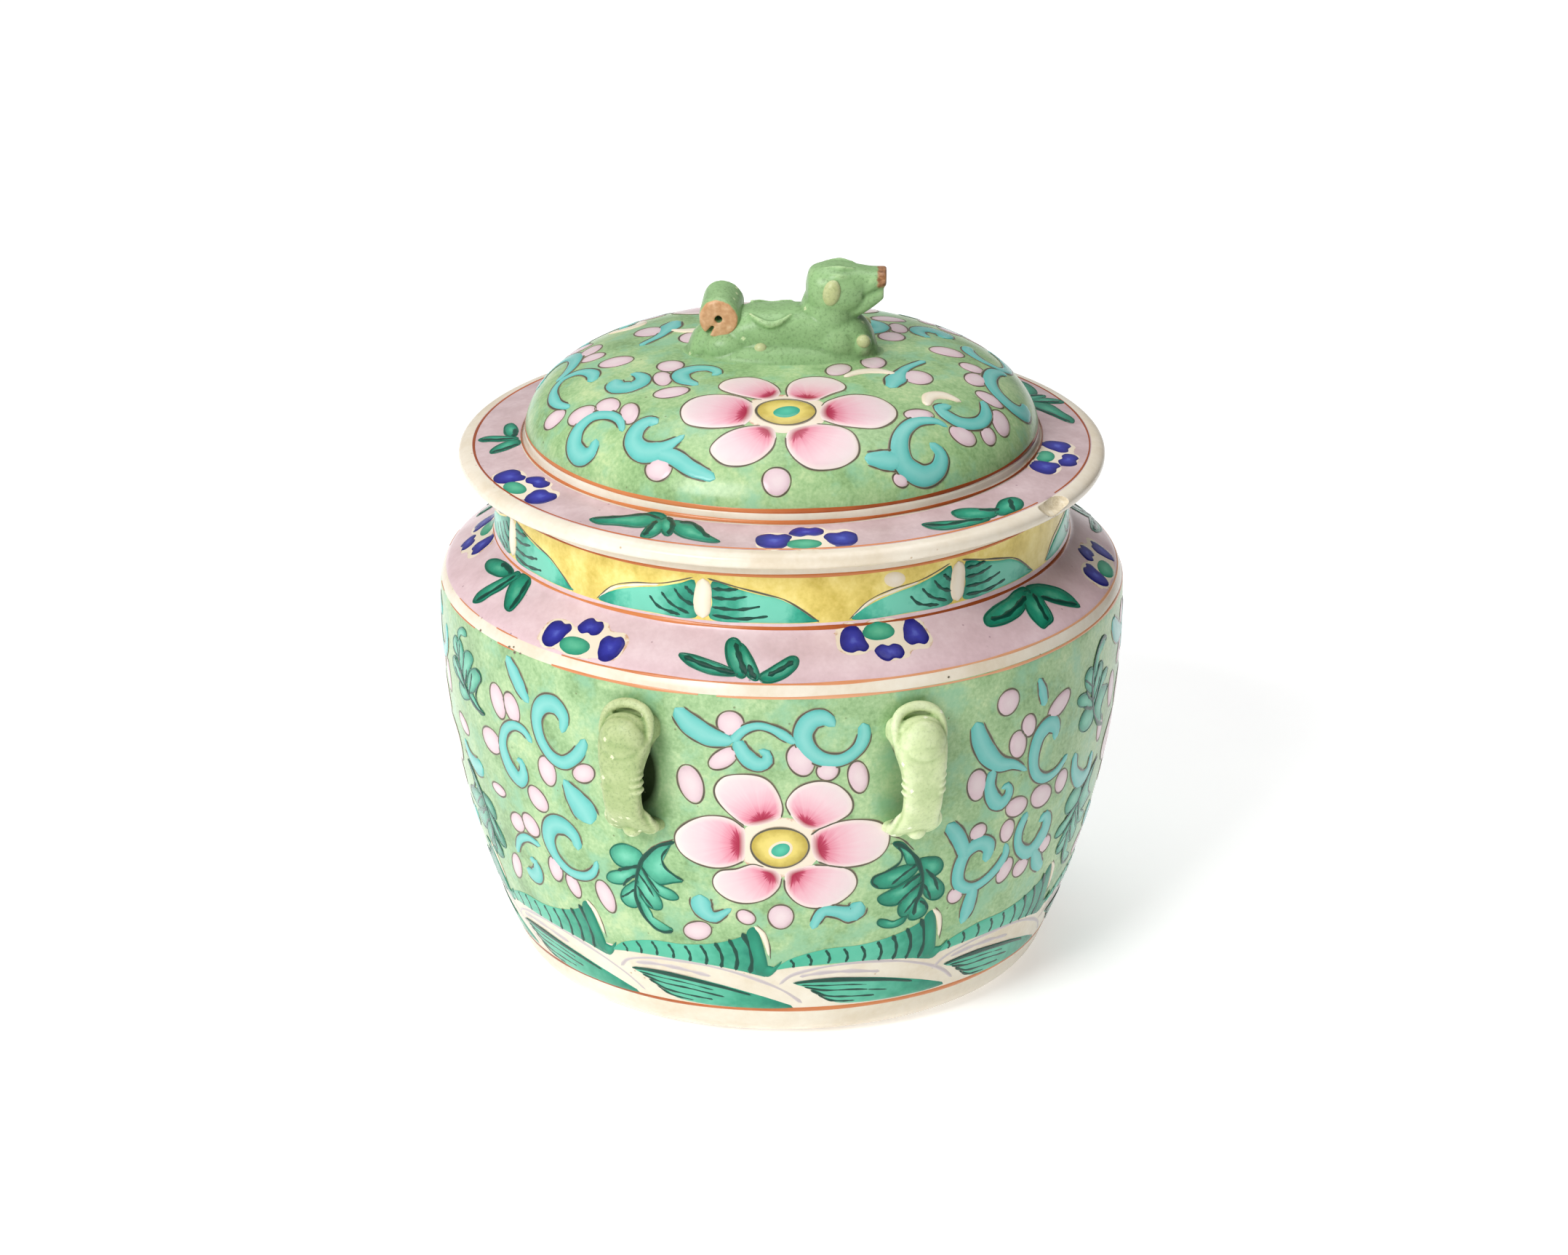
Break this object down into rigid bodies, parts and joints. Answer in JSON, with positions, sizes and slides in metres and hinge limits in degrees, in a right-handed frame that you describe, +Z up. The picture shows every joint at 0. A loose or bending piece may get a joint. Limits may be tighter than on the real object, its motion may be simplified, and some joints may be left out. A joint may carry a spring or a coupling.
{
  "type": "lidded ceramic jar",
  "caption": "Covered porcelain jar with pierced lugs and a crouching lion knop on a lift-off cover, painted in enamels.",
  "frame": {"origin": "centre of the foot ring's flat, at the surface the jar stands on", "axes": "+Z up along the jar's axis of turning, -Y towards the painted front between one pair of lugs, +X the way the lion on the cover looks"},
  "size_m": [0.151, 0.1594, 0.1584],
  "materials": {
    "green_glaze": "glossy",
    "lug_glaze": "glossy",
    "knop_glaze": "glossy"
  },
  "bodies": {
    "jar": {"jar_body": "green_glaze", "lug_front_right": "lug_glaze", "lug_back_right": "lug_glaze", "lug_back_left": "lug_glaze", "lug_front_left": "lug_glaze"},
    "lid": {"cover": "green_glaze", "lion_body": "knop_glaze", "lion_head": "knop_glaze", "lion_ear_right": "lug_glaze", "lion_ear_left": "lug_glaze", "lion_tail": "knop_glaze"}
  },
  "joints": [
    {"name": "cover_lift", "type": "slide", "parent": "jar", "child": "lid", "axis": [0, 0, 1], "range_m": [0, 0.06]}
  ]
}
